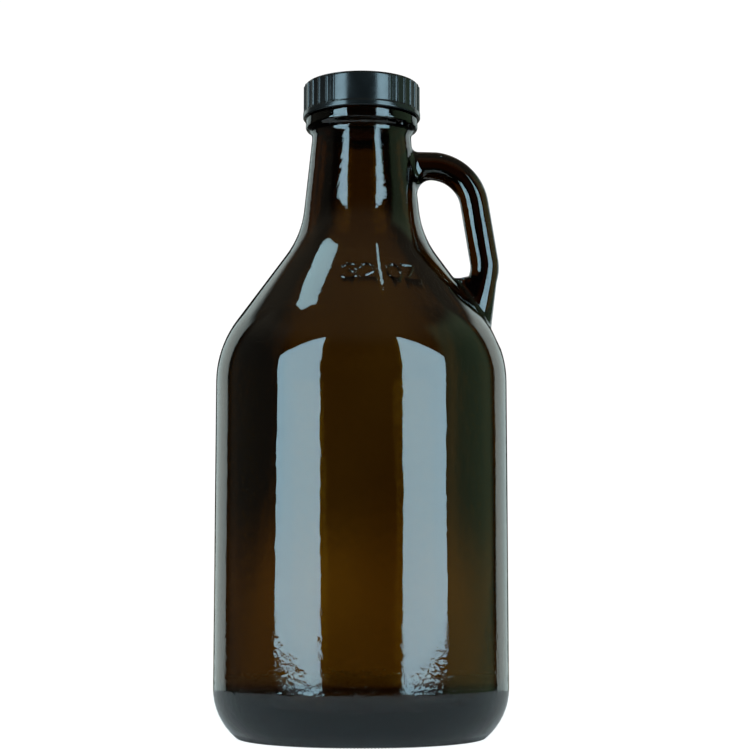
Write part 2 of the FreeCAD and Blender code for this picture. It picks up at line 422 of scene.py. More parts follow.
def distance_to(point, a, b):
    """Distance from a point to a segment, in the plane."""
    dx, dy = b[0] - a[0], b[1] - a[1]
    px, py = point[0] - a[0], point[1] - a[1]
    t = max(0.0, min(1.0, (px * dx + py * dy) / (dx * dx + dy * dy)))
    return math.hypot(px - t * dx, py - t * dy)


MARK_SLANT = (MARK_Z[1] - MARK_Z[0]) / math.cos(CONE_ANGLE)
MARK_R = CONE_TOUCH_R - CONE_SLOPE * (sum(MARK_Z) / 2 - CONE_TOUCH_Z)
STROKES, MARK_LENGTH = mark_strokes(MARK_SLANT - MARK_STROKE)
MARK_SPAN = (MARK_FIRST - 2.0, MARK_FIRST + math.degrees(MARK_LENGTH / MARK_R) + 4.0)


def mark_height(z, angle):
    """How far the raised mark stands out at this place on the shoulder cone."""
    azimuth = (math.degrees(angle) + 90 + 180) % 360 - 180
    if not (MARK_SPAN[0] < azimuth < MARK_SPAN[1] and MARK_Z[0] - 0.8 < z < MARK_Z[1] + 0.8):
        return 0.0
    across = math.radians(azimuth - MARK_FIRST) * MARK_R - MARK_STROKE / 2
    if not -1 < across < MARK_LENGTH + 1:
        return 0.0
    up = (z - MARK_Z[0]) / math.cos(CONE_ANGLE) - MARK_STROKE / 2
    nearest = min(
        distance_to((across, up), a, b)
        for stroke in STROKES
        if stroke[0][0] - 8 < across < stroke[0][0] + 8
        for a, b in zip(stroke, stroke[1:])
    )
    off_centre = min(nearest / (MARK_STROKE / 2 + 0.1), 1.0)
    return MARK_H * (1 - off_centre ** 3) ** 0.7


# ---------------------------------------------------------------- jug

def outside_path():
    """Outline of the jug's outside, from the middle of the base up to the sealing land."""
    path = outline([
        (0, PUSH_UP, 0),
        (PUSH_UP_R, PUSH_UP - PUSH_UP_FALL, PUSH_UP_EDGE_R),
        (BEARING_R - BEARING_W, 0, BEARING_IN_R),
        (BEARING_R, 0, BEARING_OUT_R),
        (BODY_R, HEEL_RISE, HEEL_R),
        (BODY_R, cone_z(BODY_R, 0), SHOULDER_R),
        (*neck_foot(0, 0), NECK_FOOT_R),
        (neck_r(CHIN_Z), CHIN_Z, BEAD_ROOT_R),
        (BEAD_R, BEAD_BOTTOM, BEAD_LOWER_R),
        (BEAD_R, BEAD_TOP, BEAD_UPPER_R),
        (THREAD_ROOT_R, BEAD_TOP + BEAD_TOP_RISE, BEAD_TOP_ROOT_R),
        (THREAD_ROOT_R, LIP_Z, LIP_EDGE_R),
        ((THREAD_ROOT_R + BORE_R) / 2, LIP_Z, 0),
    ])
    path = refined(path, MARK_Z[0] - MARK_MARGIN, MARK_Z[1] + MARK_MARGIN, MARK_ROW)
    return refined(path, BEAD_TOP + 0.3, LIP_Z - LIP_EDGE_R, THREAD_ROW)


def inside_path():
    """Outline of the jug's inside, from the sealing land down to the middle of the floor."""
    floor_z = PUSH_UP + BASE_T
    inner_r = BODY_R - WALL
    return outline([
        ((THREAD_ROOT_R + BORE_R) / 2 - 0.3, LIP_Z, 0),
        (BORE_R, LIP_Z, LIP_INNER_R),
        (BORE_R, BORE_FOOT_Z, BORE_FOOT_R),
        (*neck_foot(WALL, NECK_WALL), NECK_FOOT_R + WALL),
        (inner_r, cone_z(inner_r, WALL), SHOULDER_R - WALL),
        (inner_r, HEEL_FLOOR, HEEL_INSIDE_R),
        (PUSH_UP_R, floor_z - PUSH_UP_FALL, PUSH_UP_EDGE_R),
        (0, floor_z, 0),
    ], step=3.0)


def jug_columns():
    """Angles of the lathe's columns: fine across the mark and at the two parting lines."""
    degrees = set(range(0, 360, 3))
    start, end = MARK_SPAN[0] + 270, MARK_SPAN[1] + 270
    degrees = {d for d in degrees if not start - 1 < d < end + 1}
    fine = math.ceil((end - start) / MARK_COLUMN)
    degrees |= {start + (end - start) * i / fine for i in range(fine + 1)}
    seam = math.degrees(SEAM_W / BODY_R)
    for centre in (0, 180):
        degrees |= {(centre + k * seam) % 360 for k in (-1.0, -0.45, 0.45, 1.0)}
    return [math.radians(d) for d in sorted(degrees)]


def seam_height(angle, r):
    """Height of the mould's parting line, which runs up both sides in the handle's plane."""
    off = abs(math.sin(angle)) * r
    return SEAM_H * smooth(1 - off / SEAM_W)


def shaped_outside(r, z, angle):
    """The outside with its thread, raised mark and parting lines."""
    if r < 1e-6:
        return r, z
    if BEAD_TOP + 0.3 < z < LIP_Z - LIP_EDGE_R + 0.2 and r < THREAD_CREST_R:
        height = THREAD_CREST_R - THREAD_ROOT_R
        width = width_at_wall(THREAD_ROOT_W, THREAD_CREST_W, height)
        bulge = thread_bulge(z, angle, THREAD_Z, THREAD_TURNS, 0, width, THREAD_CREST_W)
        return r + height * bulge, z
    if HEEL_RISE + 3 < z < BEAD_BOTTOM:
        out = mark_height(z, angle)
        fade = smooth((z - HEEL_RISE - 3) / 6) * smooth((BEAD_BOTTOM - z) / 3)
        side = min(out + seam_height(angle, r) * fade, MARK_H)
        if r > BODY_R - 0.5:
            side = min(side, BODY_R - r) if side > 0 else side
        if out:
            return r + side * math.cos(CONE_ANGLE), z + side * math.sin(CONE_ANGLE)
        return r + side, z
    return r, z


def shaped_inside(r, z, angle):
    """The inside, whose wall is as uneven as blown glass is."""
    if z > EVEN_ABOVE_Z or r < 1e-6:
        return r, z
    depth = smooth((EVEN_ABOVE_Z - z) / 30) * smooth((r - 20) / 20)
    wave = 0.0
    for size, lobes, phase, length in UNEVEN:
        wave += size * math.sin(lobes * angle + phase + z / length)
    return r + wave * depth, z


def handle_path():
    """Centre line of the handle as points (x, z), every millimetre or so, in the XZ plane."""
    corners = [
        (HANDLE_START_X, HANDLE_TOP_Z, 0),
        (HANDLE_ELBOW_X, HANDLE_TOP_Z, HANDLE_BEND_R),
        (HANDLE_KNEE_X, HANDLE_KNEE_Z, HANDLE_KNEE_R),
        (HANDLE_FOOT_X, HANDLE_FOOT_Z, HANDLE_FOOT_R),
        (HANDLE_FOOT_X, HANDLE_END_Z, 0),
    ]
    return outline(corners, step=1.0, turn_step=math.radians(5))


class Bar:
    """The handle's bar. A place on it is (station along the centre line, angle round it)."""

    def __init__(self):
        self.points = handle_path()
        self.stations = [0.0]
        for a, b in zip(self.points, self.points[1:]):
            self.stations.append(self.stations[-1] + (b - a).length)
        self.length = self.stations[-1]

    def frame(self, station):
        """Centre and direction at a station."""
        s = min(max(station, 0.0), self.length)
        k = 0
        while k < len(self.stations) - 2 and self.stations[k + 1] < s:
            k += 1
        t = (s - self.stations[k]) / (self.stations[k + 1] - self.stations[k])
        centre = self.points[k].lerp(self.points[k + 1], t)
        def heading(i):
            a = self.points[max(i - 1, 0)]
            b = self.points[min(i + 1, len(self.points) - 1)]
            return (b - a).normalized()
        along = heading(k).lerp(heading(k + 1), t).normalized()
        return Vector((centre.x, 0, centre.y)), Vector((along.x, 0, along.y))

    def out(self, along, angle):
        """Direction away from the centre line. Angle 0 is the outer side of the loop."""
        outer = Vector((-along.z, 0, along.x))
        return outer * math.cos(angle) + Vector((0, 1, 0)) * math.sin(angle)

    def place(self, station, angle):
        """A point of the bar's skin. Below the web's top its inner half reaches in to the jug."""
        centre, along = self.frame(station)
        p = centre + self.out(along, angle) * HANDLE_R
        inward = -math.cos(angle)
        if inward <= 0:
            return p
        (x0, z0), (x1, z1) = WEB_TOP
        top = z0 + (z1 - z0) * (p.x - WEB_REACH * 0.5 - x0) / (x1 - x0)
        share = smooth((top - p.z) / WEB_RISE) * smooth(inward / 0.45)
        y = p.y
        if abs(y) > WEB_HALF:
            y = math.copysign(WEB_HALF + (abs(y) - WEB_HALF) * (1 - share), y)
        return Vector((p.x - WEB_REACH * share, y, p.z))


class Skin:
    """The jug's outside as radius against height, from the heel to under the bead."""

    def __init__(self, path):
        self.rows = [(p.y, p.x) for p in path if HEEL_RISE + 8 < p.y < CHIN_Z]
        self.rows.sort()

    def radius(self, z):
        rows = self.rows
        lo, hi = 0, len(rows) - 1
        while hi - lo > 1:
            mid = (lo + hi) // 2
            if rows[mid][0] <= z:
                lo = mid
            else:
                hi = mid
        t = (z - rows[lo][0]) / (rows[hi][0] - rows[lo][0])
        return rows[lo][1] + t * (rows[hi][1] - rows[lo][1])

    def outside(self, p):
        """How far a point is outside the skin, measured square to it."""
        return (math.hypot(p.x, p.y) - self.radius(p.z)) * self.normal(p).xy.length

    def normal(self, p):
        slope = (self.radius(p.z + 0.4) - self.radius(p.z - 0.4)) / 0.8
        flat = Vector((p.x, p.y, 0)).normalized()
        return Vector((flat.x, flat.y, -slope)).normalized()

    def onto(self, p):
        """The nearest point of the skin."""
        for _ in range(4):
            p = p - self.normal(p) * self.outside(p)
        return p


def crossing(bar, skin, angle, station, step):
    """Station at which the bar's line at this angle leaves the jug, going by step from inside."""
    while skin.outside(bar.place(station, angle)) < 0:
        station += step
    inside, outside = station - step, station
    for _ in range(24):
        middle = (inside + outside) / 2
        if skin.outside(bar.place(middle, angle)) < 0:
            inside = middle
        else:
            outside = middle
    return outside


def root_rings(bar, skin, start, direction, fillet_of, longest, count):
    """Rings of points from the jug's skin up onto the bar, rounded by a fillet. direction is 1 where
    the bar leaves the jug along its stations, and -1 at its other end."""
    rings = [[] for _ in range(count + 1)]
    ends = []
    for angle in even_angles(HANDLE_SIDES):
        station = crossing(bar, skin, angle, start, direction * ROOT_STEP)
        at = bar.place(station, angle)
        forward = bar.frame(station)[1]
        normal = skin.normal(at)
        away = bar.out(forward, angle)
        away = away - normal * away.dot(normal)
        away.normalize()
        corner = (forward * direction).angle(away)
        reach = min(fillet_of(angle) / math.tan(corner / 2), longest)
        radius = reach * math.tan(corner / 2)
        pull = 4 / 3 * math.tan((math.pi - corner) / 4) * radius
        foot = skin.onto(at + away * reach)
        into = -(away - skin.normal(foot) * away.dot(skin.normal(foot))).normalized()
        top_station = station + direction * reach
        top = bar.place(top_station, angle)
        down = bar.frame(top_station)[1] * -direction
        for k in range(count + 1):
            t = k / count
            p = foot * (1 - t) ** 3
            p += (foot + into * pull) * 3 * t * (1 - t) ** 2
            p += (top + down * pull) * 3 * t * t * (1 - t)
            p += top * t ** 3
            rings[k].append(p)
        ends.append(top_station)
    return rings, ends


def add_ring(bm, points):
    """Vertices at points in millimetres."""
    return [bm.verts.new(p * MM) for p in points]


def bridge(bm, low, high):
    """Faces between two closed loops that have as many vertices."""
    for i in range(len(low)):
        j = (i + 1) % len(low)
        bm.faces.new((low[i], low[j], high[j], high[i]))


def around(centre):
    """Sort key: angle round a place on the skin, seen from outside."""
    normal = Vector((centre.x, centre.y, 0)).normalized()
    side = Vector((0, 0, 1)).cross(normal)
    def key(v):
        off = v.co / MM - centre
        return math.atan2(off.z, off.dot(side)) % TAU
    return key


def hole_edge(bm, rings, columns, block):
    """The vertices round a rectangular gap in the lathe."""
    low, high, left, right = block
    edge = set()
    for row in range(low, high + 1):
        edge |= {rings[row][left], rings[row][right % len(columns)]}
    i = left
    while i != right:
        edge |= {rings[low][i], rings[high][i]}
        i = (i + 1) % len(columns)
    return list(edge)


def block_around(path, columns, low_z, high_z, half_width):
    """Rows and columns of the gap that a handle root needs: (low, high, left, right)."""
    rows = [i for i, p in enumerate(path) if low_z < p.y < high_z and p.x > BORE_R]
    low, high = min(rows) - 1, max(rows) + 1
    left = min(i for i, a in enumerate(columns) if a > TAU - half_width)
    right = max(i for i, a in enumerate(columns) if a < half_width)
    return low, high, left, right


def arm_fillet(angle):
    """The arm's root is rounder under the arm than above it."""
    return 3.8 - 1.6 * math.cos(angle)


def foot_fillet(angle):
    """The foot's root is tight in the crotch behind it and rounder at its sides."""
    return 1.0 + 2.2 * smooth((math.cos(angle) + 1) / 1.4)


def add_handle(bm, path, columns, rings, blocks):
    """The bar, its two filleted roots and the skin round them."""
    bar = Bar()
    skin = Skin(path)
    arm, arm_ends = root_rings(bar, skin, ARM_START, 1, arm_fillet, ARM_REACH, ARM_STEPS)
    foot_start = bar.length - FOOT_START
    foot, foot_ends = root_rings(bar, skin, foot_start, -1, foot_fillet, FOOT_REACH, FOOT_STEPS)
    first = max(arm_ends) + BAR_MARGIN
    last = min(foot_ends) - BAR_MARGIN
    count = math.ceil((last - first) / BAR_STEP)
    made = [add_ring(bm, ring) for ring in arm]
    for k in range(count + 1):
        station = first + (last - first) * k / count
        made.append(add_ring(bm, [bar.place(station, a) for a in even_angles(HANDLE_SIDES)]))
    made += [add_ring(bm, ring) for ring in reversed(foot)]
    for low, high in zip(made, made[1:]):
        bridge(bm, low, high)
    for block, loop in zip(blocks, (made[0], made[-1])):
        centre = sum((v.co / MM for v in loop), Vector()) / len(loop)
        centre = skin.onto(centre)
        key = around(centre)
        wide = []
        for v in loop:
            p = v.co / MM
            wide.append(skin.onto(p + (p - centre).normalized() * COLLAR_W))
        collar = add_ring(bm, wide)
        bridge(bm, loop, collar)
        zip_loops(bm, collar, hole_edge(bm, rings, columns, block), key)


def knurl(angle, r):
    """Rise of the knurled ring: a notch between each two teeth, nothing at the ring's two edges."""
    notch = 0.5 - 0.5 * math.cos(KNURL_TEETH * angle)
    across = smooth((r - KNURL_IN_R) / 1.2) * smooth((KNURL_OUT_R - r) / 1.4)
    return KNURL_DEPTH * notch ** 1.5 * across


def toothed(r, z, angle):
    """The underside with its knurled ring, as a shape for lathe."""
    return r, z + knurl(angle, r)


def add_base(bm, path, columns):
    """Underside with its fine knurled ring, from the middle out to the heel. Returns the heel's row."""
    inner = [p for p in path if p.x < KNURL_IN_R and p.y < PUSH_UP + 1]
    ring = [p for p in path if KNURL_IN_R <= p.x <= KNURL_OUT_R and p.y < HEEL_RISE]
    outer = path[len(inner) + len(ring)]
    middle = lathe(bm, inner, columns, unchanged)
    teeth = lathe(bm, ring, even_angles(KNURL_TEETH * KNURL_STEPS), toothed)
    heel = ring_of(bm, outer, columns, unchanged)
    zip_loops(bm, middle[-1], teeth[0], angle_of)
    zip_loops(bm, teeth[-1], heel, angle_of)
    return len(inner) + len(ring)


def make_jug(material):
    """The jug as one closed mesh: base, outside, handle and inside."""
    bm = bmesh.new()
    path = outside_path()
    columns = jug_columns()
    heel_row = add_base(bm, path, columns)
    upper = path[heel_row:]
    blocks = [block_around(upper, columns, *gap) for gap in (ARM_GAP, FOOT_GAP)]
    rings = lathe(bm, upper, columns, shaped_outside, blocks)
    add_handle(bm, path, columns, rings, blocks)
    inside = lathe(bm, inside_path(), even_angles(INSIDE_COLUMNS), shaped_inside)
    zip_loops(bm, rings[-1], inside[0], angle_of)
    loose = [v for v in bm.verts if not v.link_faces]
    bmesh.ops.delete(bm, geom=loose, context="VERTS")
    return finished(bm, "amber_jug", material)


# ---------------------------------------------------------------- cap and liner

def cap_columns():
    """Angles of the cap's columns: close together over each rib, wider on the smooth panels."""
    rib_half = math.degrees(RIB_W / 2 / CAP_R)
    rib_step = (180 - 2 * RIB_FIRST) / (RIB_COUNT - 1)
    degrees = set()
    for flank in (-90, 90):
        for i in range(RIB_COUNT):
            centre = flank + RIB_FIRST + i * rib_step
            degrees |= {centre + k * rib_half for k in (-1.5, -1.1, -0.75, -0.4, 0, 0.4, 0.75, 1.1, 1.5)}
            if i < RIB_COUNT - 1:
                degrees |= {centre + rib_step * t for t in (0.3, 0.5, 0.7)}
        width = 2 * (RIB_FIRST - 1.8 * rib_half)
        degrees |= {flank - width / 2 + width * i / PANEL_STEPS for i in range(PANEL_STEPS + 1)}
    return sorted(math.radians(d % 360) for d in degrees)


def rib_height(angle):
    """Profile of the ribs round the cap, from 0 between them to 1 on their crests."""
    rib_step = (180 - 2 * RIB_FIRST) / (RIB_COUNT - 1)
    best = 0.0
    for flank in (-90, 90):
        a = (math.degrees(angle) - flank - RIB_FIRST + 180) % 360 - 180
        nearest = min(max(round(a / rib_step), 0), RIB_COUNT - 1)
        off = abs(a - nearest * rib_step) * math.radians(1) * CAP_R
        best = max(best, smooth((RIB_W * 0.72 - off) / (RIB_W * 0.42)))
    return best


def shaped_cap(r, z, angle):
    """The cap's skin with its ribs outside and its thread inside."""
    if r > CAP_R - 0.35 and z > CAP_RIM_TOP - CAP_RIM_SLOPE:
        top = smooth((CAP_TOP_Z - 0.25 - z) / 0.8)
        foot = smooth((z - CAP_RIM_TOP + CAP_RIM_SLOPE) / 0.5)
        return r + RIB_H * rib_height(angle) * top * foot, z
    if abs(r - CAP_BORE_R) < 0.05 and z < CAP_CEILING - 0.3:
        first = THREAD_Z - CAP_THREAD_DROP + PITCH * CAP_THREAD_START
        height = CAP_BORE_R - CAP_THREAD_R
        width = width_at_wall(CAP_THREAD_ROOT_W, CAP_THREAD_CREST_W, height)
        bulge = thread_bulge(z, angle, first, CAP_THREAD_TURNS, CAP_THREAD_START, width,
                             CAP_THREAD_CREST_W)
        return r - height * bulge, z
    return r, z


def make_cap(material):
    """The cap, from the middle of its top round the rim and up the bore to its ceiling."""
    lead_top = CAP_SKIRT_Z + CAP_LEAD_H
    path = outline([
        (0, CAP_TOP_Z, 0),
        (CAP_R, CAP_TOP_Z, CAP_EDGE_R),
        (CAP_R, CAP_RIM_TOP, CAP_SMALL_R),
        (CAP_RIM_R, CAP_RIM_TOP - CAP_RIM_SLOPE, CAP_RIM_UPPER_R),
        (CAP_RIM_R, CAP_SKIRT_Z, CAP_RIM_LOWER_R),
        (CAP_LEAD_R, CAP_SKIRT_Z, CAP_SMALL_R),
        (CAP_LEAD_R, lead_top, CAP_LEAD_EDGE_R),
        (CAP_BORE_R, lead_top + CAP_LEAD_R - CAP_BORE_R, CAP_LEAD_EDGE_R),
        (CAP_BORE_R, CAP_CEILING, CAP_CORNER_R),
        (0, CAP_CEILING, 0),
    ], step=1.2)
    bore_first = sum(p.x > CAP_BORE_R + 0.1 or p.y > CAP_CEILING + 0.01 for p in path)
    bore = refined(path[bore_first:], lead_top, CAP_CEILING - 0.2, THREAD_ROW)
    bm = bmesh.new()
    lathe(bm, path[:bore_first] + bore, cap_columns(), shaped_cap)
    return finished(bm, "ribbed_cap", material)


def make_liner(material):
    """The disc on the lip, with the hollow cone that plugs the mouth."""
    tip_z = LIP_Z - CONE_DEPTH
    path = outline([
        (0, tip_z, 0),
        (CONE_TIP_R, tip_z, CONE_TIP_EDGE_R),
        (CONE_TOP_R, LIP_Z - CONE_TOP_DROP, CONE_SHOULDER_R),
        (CONE_TOP_R, LIP_Z, CONE_TOP_EDGE_R),
        (LINER_R, LIP_Z, LINER_EDGE_R),
        (LINER_R, CAP_CEILING, LINER_EDGE_R),
        (CONE_TOP_R - CONE_WALL, CAP_CEILING, LINER_HOLLOW_R),
        (CONE_TIP_R - CONE_WALL, tip_z + CONE_WALL, CONE_TIP_EDGE_R),
        (0, tip_z + CONE_WALL, 0),
    ], step=1.2)
    bm = bmesh.new()
    lathe(bm, path, even_angles(LINER_COLUMNS), unchanged)
    return finished(bm, "white_cone_liner", material)


# ---------------------------------------------------------------- materials

AMBER = (0.625, 0.483, 0.042)
AMBER_DENSITY = 1200     # per metre


def new_material(name):
    """An empty node material. Returns the material, its nodes, its links and its shader."""
    material = bpy.data.materials.new(name)
    material.use_nodes = True
    nodes = material.node_tree.nodes
    shader = nodes["Principled BSDF"]
    return material, nodes, material.node_tree.links, shader


def noise(nodes, links, scale, detail=2.0, stretch=(1, 1, 1)):
    """Noise in object space, in cycles per metre. Returns the node."""
    where = nodes.new("ShaderNodeTexCoord")
    mapping = nodes.new("ShaderNodeMapping")
    mapping.inputs["Scale"].default_value = stretch
    texture = nodes.new("ShaderNodeTexNoise")
    texture.inputs["Scale"].default_value = scale
    texture.inputs["Detail"].default_value = detail
    links.new(where.outputs["Object"], mapping.inputs["Vector"])
    links.new(mapping.outputs["Vector"], texture.inputs["Vector"])
    return texture


def ramp(nodes, links, source, stops):
    """Maps a number to another through a colour ramp with (place, value) stops."""
    node = nodes.new("ShaderNodeValToRGB")
    elements = node.color_ramp.elements
    while len(elements) < len(stops):
        elements.new(0.5)
    for element, (place, value) in zip(elements, stops):
        element.position = place
        level = value if isinstance(value, tuple) else (value, value, value)
        element.color = (*level, 1)
    links.new(source, node.inputs["Fac"])
    return node.outputs["Color"]


def bump(nodes, links, height, strength, distance, under=None):
    """A bump on top of the one under it, if there is one. Distance is in metres."""
    node = nodes.new("ShaderNodeBump")
    node.inputs["Strength"].default_value = strength
    node.inputs["Distance"].default_value = distance
    links.new(height, node.inputs["Height"])
    if under:
        links.new(under, node.inputs["Normal"])
    return node.outputs["Normal"]


def amber_glass():
    """Clear bottle glass whose colour comes from absorption inside it."""
    material, nodes, links, shader = new_material("amber_glass")
    shader.inputs["Base Color"].default_value = (1, 1, 1, 1)
    shader.inputs["Transmission Weight"].default_value = 1
    shader.inputs["IOR"].default_value = 1.52
    smudge = noise(nodes, links, 38, 4)
    links.new(ramp(nodes, links, smudge.outputs["Fac"], [(0.35, 0.0), (0.75, 0.05)]),
              shader.inputs["Roughness"])
    peel = noise(nodes, links, 420, 2, (1, 1, 0.6))
    roll = noise(nodes, links, 60, 1, (1, 1, 0.35))
    normal = bump(nodes, links, peel.outputs["Fac"], 0.10, 0.0002)
    normal = bump(nodes, links, roll.outputs["Fac"], 0.25, 0.0006, normal)
    ripple = noise(nodes, links, 700, 2, (1, 1, 0.8))
    where = nodes.new("ShaderNodeTexCoord")
    split = nodes.new("ShaderNodeSeparateXYZ")
    links.new(where.outputs["Object"], split.inputs["Vector"])
    height = nodes.new("ShaderNodeMapRange")
    height.inputs["From Max"].default_value = LIP_Z * MM
    links.new(split.outputs["Z"], height.inputs["Value"])
    strength = ramp(nodes, links, height.outputs["Result"], [
        (0.04, 0.5), (0.15, 0.25), (0.22, 0.0), (0.70, 0.0), (0.78, 0.22), (1.0, 0.3),
    ])
    rough_skin = nodes.new("ShaderNodeBump")
    rough_skin.inputs["Distance"].default_value = 0.00018
    links.new(ripple.outputs["Fac"], rough_skin.inputs["Height"])
    links.new(strength, rough_skin.inputs["Strength"])
    links.new(normal, rough_skin.inputs["Normal"])
    normal = rough_skin.outputs["Normal"]
    links.new(normal, shader.inputs["Normal"])
    absorb = nodes.new("ShaderNodeVolumeAbsorption")
    absorb.inputs["Color"].default_value = (*AMBER, 1)
    absorb.inputs["Density"].default_value = AMBER_DENSITY
    links.new(absorb.outputs["Volume"], nodes["Material Output"].inputs["Volume"])
    return material


def black_plastic():
    """Moulded black plastic, semi-gloss, with a slightly uneven gloss and a fine grain."""
    material, nodes, links, shader = new_material("black_plastic")
    tint = noise(nodes, links, 55, 3)
    links.new(ramp(nodes, links, tint.outputs["Fac"], [
        (0.3, (0.0050, 0.0050, 0.0050)), (0.7, (0.0080, 0.0080, 0.0080)),
    ]), shader.inputs["Base Color"])
    wear = noise(nodes, links, 210, 3)
    links.new(ramp(nodes, links, wear.outputs["Fac"], [(0.3, 0.15), (0.75, 0.24)]),
              shader.inputs["Roughness"])
    grain = noise(nodes, links, 2600, 1)
    links.new(bump(nodes, links, grain.outputs["Fac"], 0.12, 0.00006), shader.inputs["Normal"])
    shader.inputs["IOR"].default_value = 1.5
    return material


def white_polyethylene():
    """Soft milky polyethylene with a waxy surface."""
    material, nodes, links, shader = new_material("white_polyethylene")
    tint = noise(nodes, links, 90, 3)
    links.new(ramp(nodes, links, tint.outputs["Fac"], [
        (0.3, (0.80, 0.80, 0.77)), (0.7, (0.86, 0.86, 0.83)),
    ]), shader.inputs["Base Color"])
    shader.inputs["Roughness"].default_value = 0.45
    shader.inputs["Subsurface Weight"].default_value = 0.3
    shader.inputs["Subsurface Radius"].default_value = (0.002, 0.002, 0.0016)
    grain = noise(nodes, links, 1500, 2)
    links.new(bump(nodes, links, grain.outputs["Fac"], 0.15, 0.00008), shader.inputs["Normal"])
    return material


# ---------------------------------------------------------------- studio

FLOOR_R = 0.22
FLOOR_DROP = 0.0002      # it lies this far under the jug
FLOOR_GLOW = 0.22        # of the floor as the glass sees it, besides the light that falls on it
FLOOR_WHITE = 0.90       # the same as the camera sees it
BACKDROP_WHITE = 1.05    # of the world as the camera sees it
CAMERA_AT = (0, -0.590, 0.052)
CAMERA_UP = 6.65         # degrees above level
CAMERA_RIGHT = 0.447     # degrees from +Y towards +X
CAMERA_LENS = 84         # millimetres, on a sensor SENSOR_W wide
SENSOR_W = 36
CAMERA_CLIP = 0.01

# Soft-edged fill lights in the dim studio round the jug: colour, then the middle, half width and edge
# softness of the azimuth, from +Y towards +X, then the same of the elevation, in degrees.
BACK_LEFT = ((0.78, 0.95, 0.94), (-35, 14, 3), (12, 16, 8))
BACK_RIGHT = ((0.78, 0.95, 0.94), (35, 14, 3), (12, 16, 8))
BACKLIGHT = ((0.30, 0.32, 0.28), (0, 4, 3), (8, 7, 5))
TABLE_BOUNCE = ((0.50, 0.53, 0.46), (0, 12, 4), (-6, 5, 4))
LEFT_FILL = ((0.06, 0.06, 0.05), (-85, 22, 10), (15, 25, 10))
RIGHT_FILL = ((0.16, 0.26, 0.15), (85, 22, 10), (15, 25, 10))
FILLS = [BACK_LEFT, BACK_RIGHT, BACKLIGHT, TABLE_BOUNCE, LEFT_FILL, RIGHT_FILL]
ROOM = (0.012, 0.012, 0.010)
ROOM_ABOVE = (0.105, 0.095, 0.07)     # what the ceiling adds
CEILING_SINES = (0.40, 0.75)          # sines of the elevations at which it sets in and is full

# Two upright softboxes in front, one the mirror image of the other. Each upright edge has its azimuth
# from -Y in degrees and the heights of its lower and upper end in metres.
SOFTBOX_DISTANCE = 0.60
SOFTBOX_INNER_EDGE = (30.5, -0.03, 0.56)
SOFTBOX_OUTER_EDGE = (66.0, 0.01, 0.30)
SOFTBOX_RADIANCE = 8.0
SOFTBOX_TINT = (0.58, 0.91, 1.08)

# Two level cards overhead: name, and the corners with the lowest and the highest x and y.
OVERHEAD_Z = 1.15
OVERHEAD_RADIANCE = 5.5
OVERHEAD_TINT = (0.56, 0.89, 1.0)
OVERHEAD = [
    ("left_overhead", (-0.62, -0.04), (-0.34, 0.22)),
    ("right_overhead", (0.205, -0.14), (0.235, -0.02)),
]


def add_floor():
    """Pale round table top that blends into the white round it."""
    bm = bmesh.new()
    bmesh.ops.create_circle(bm, cap_ends=True, segments=128, radius=FLOOR_R)
    mesh = bpy.data.meshes.new("floor")
    bm.to_mesh(mesh)
    bm.free()
    material, nodes, links, shader = new_material("pale_floor")
    shader.inputs["Base Color"].default_value = (0.5, 0.5, 0.5, 1)
    shader.inputs["Roughness"].default_value = 0.8
    shader.inputs["Emission Color"].default_value = (1, 1, 1, 1)
    path = nodes.new("ShaderNodeLightPath")
    level = nodes.new("ShaderNodeMapRange")
    level.inputs["To Min"].default_value = FLOOR_GLOW
    level.inputs["To Max"].default_value = FLOOR_WHITE
    links.new(path.outputs["Is Camera Ray"], level.inputs["Value"])
    links.new(level.outputs["Result"], shader.inputs["Emission Strength"])
    mesh.materials.append(material)
    floor = bpy.data.objects.new("floor", mesh)
    floor.location = (0, 0, -FLOOR_DROP)
    bpy.context.scene.collection.objects.link(floor)


